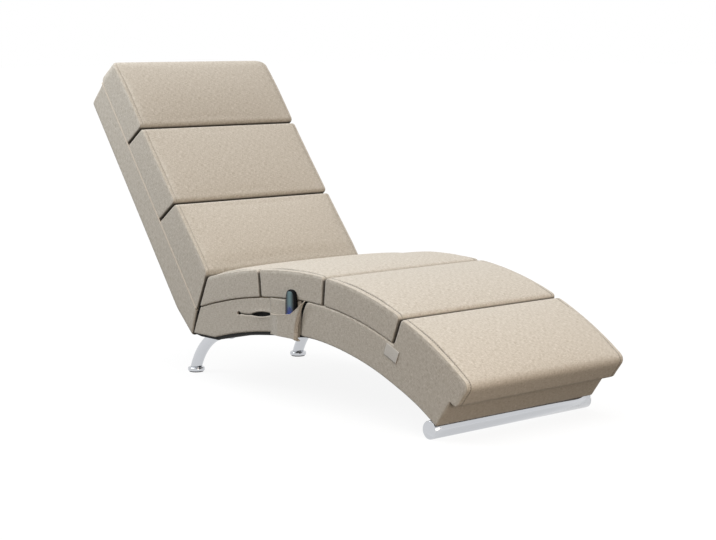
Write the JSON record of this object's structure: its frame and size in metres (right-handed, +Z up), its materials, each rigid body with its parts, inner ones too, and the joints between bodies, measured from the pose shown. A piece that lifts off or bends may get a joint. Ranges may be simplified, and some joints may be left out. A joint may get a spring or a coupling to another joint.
{
  "type": "massage lounger",
  "caption": "Wave-shaped upholstered massage lounger: raked back, channelled cushions on a padded base, chrome feet, and a side pouch with a lift-out handset.",
  "frame": {"origin": "on the floor, under the middle of the bounding box, on the mid-plane of the cushions", "axes": "+X from head to foot, +Z up, +Y to the lying person's left"},
  "size_m": [1.5695, 0.571, 0.8787],
  "materials": {
    "cushion_fabric": "matt linen-look weave",
    "base_fabric": "matt linen-look weave",
    "plywood": "raw",
    "dust_cloth": "matt non-woven",
    "chrome": "polished",
    "steel": "plain",
    "glide_rubber": "matt",
    "black_plastic": "fine matt",
    "button_plastic": "satin",
    "display": "gloss",
    "circuit_board": "satin",
    "heater_fabric": "felt"
  },
  "bodies": {
    "lounger": {"back_cross_rails": "plywood", "back_deck": "plywood", "back_end_panels": "base_fabric", "back_lower_cushion": "cushion_fabric", "back_middle_cushion": "cushion_fabric", "back_rear_panel": "base_fabric", "back_side_panel_left": "base_fabric", "back_side_panel_right": "base_fabric", "back_side_rails": "plywood", "back_straps": "steel", "back_top_cushion": "cushion_fabric", "calf_cushion": "cushion_fabric", "control_box": "black_plastic", "control_box_lid": "black_plastic", "dust_covers": "dust_cloth", "foot_cushion": "cushion_fabric", "frame_bolts": "steel", "front_tube": "chrome", "leg_cross_rails": "plywood", "leg_deck": "plywood", "leg_front_panel": "base_fabric", "leg_screws": "steel", "leg_side_panel_left": "base_fabric", "leg_side_panel_right": "base_fabric", "leg_side_rails": "plywood", "lumbar_heating_pad": "heater_fabric", "motor_cans": "steel", "motor_covers": "black_plastic", "power_socket": "black_plastic", "rear_feet": "chrome", "rear_glides": "glide_rubber", "rear_leg_left": "chrome", "rear_leg_right": "chrome", "seat_cross_rails": "plywood", "seat_deck": "plywood", "seat_front_cushion": "cushion_fabric", "seat_rear_cushion": "cushion_fabric", "seat_side_panel_left": "base_fabric", "seat_side_panel_right": "base_fabric", "seat_side_rails": "plywood", "side_pocket": "base_fabric", "side_tab": "base_fabric", "tube_end_caps": "chrome", "tube_screws": "steel"},
    "handset": {"handset_rear_shell": "black_plastic", "handset_front_shell": "black_plastic", "handset_display": "display", "handset_circuit_board": "circuit_board"},
    "power_button_body": {"power_button": "button_plastic"},
    "mode_button_body": {"mode_button": "button_plastic"},
    "heat_button_body": {"heat_button": "button_plastic"},
    "zone_button_body": {"zone_button": "button_plastic"},
    "strength_button_body": {"strength_button": "button_plastic"},
    "shoulder_rotor_left_body": {"shoulder_rotor_left": "steel"},
    "shoulder_rotor_right_body": {"shoulder_rotor_right": "steel"},
    "lumbar_rotor_left_body": {"lumbar_rotor_left": "steel"},
    "lumbar_rotor_right_body": {"lumbar_rotor_right": "steel"},
    "calf_rotor_left_body": {"calf_rotor_left": "steel"},
    "calf_rotor_right_body": {"calf_rotor_right": "steel"}
  },
  "joints": [
    {"name": "handset_lift", "type": "slide", "parent": "lounger", "child": "handset", "axis": [0, 0, 1], "range_m": [0, 0.14]},
    {"name": "power_button_press", "type": "slide", "parent": "handset", "child": "power_button_body", "axis": [0, 1, 0], "range_m": [0, 0.001], "stiffness_N_per_m": 300},
    {"name": "mode_button_press", "type": "slide", "parent": "handset", "child": "mode_button_body", "axis": [0, 1, 0], "range_m": [0, 0.001], "stiffness_N_per_m": 300},
    {"name": "heat_button_press", "type": "slide", "parent": "handset", "child": "heat_button_body", "axis": [0, 1, 0], "range_m": [0, 0.001], "stiffness_N_per_m": 300},
    {"name": "zone_button_press", "type": "slide", "parent": "handset", "child": "zone_button_body", "axis": [0, 1, 0], "range_m": [0, 0.001], "stiffness_N_per_m": 300},
    {"name": "strength_button_press", "type": "slide", "parent": "handset", "child": "strength_button_body", "axis": [0, 1, 0], "range_m": [0, 0.001], "stiffness_N_per_m": 300},
    {"name": "shoulder_motor_left_spin", "type": "hinge", "parent": "lounger", "child": "shoulder_rotor_left_body", "pos_m": [-0.66701, 0.105, 0.73071], "axis": [0.8059, 0, 0.592], "continuous": true},
    {"name": "shoulder_motor_right_spin", "type": "hinge", "parent": "lounger", "child": "shoulder_rotor_right_body", "pos_m": [-0.66701, -0.105, 0.73071], "axis": [0.8059, 0, 0.592], "continuous": true},
    {"name": "lumbar_motor_left_spin", "type": "hinge", "parent": "lounger", "child": "lumbar_rotor_left_body", "pos_m": [-0.371, 0.105, 0.32774], "axis": [0.8059, 0, 0.592], "continuous": true},
    {"name": "lumbar_motor_right_spin", "type": "hinge", "parent": "lounger", "child": "lumbar_rotor_right_body", "pos_m": [-0.371, -0.105, 0.32774], "axis": [0.8059, 0, 0.592], "continuous": true},
    {"name": "calf_motor_left_spin", "type": "hinge", "parent": "lounger", "child": "calf_rotor_left_body", "pos_m": [0.40012, 0.105, 0.25344], "axis": [0.2334, 0, 0.9724], "continuous": true},
    {"name": "calf_motor_right_spin", "type": "hinge", "parent": "lounger", "child": "calf_rotor_right_body", "pos_m": [0.40012, -0.105, 0.25344], "axis": [0.2334, 0, 0.9724], "continuous": true}
  ]
}
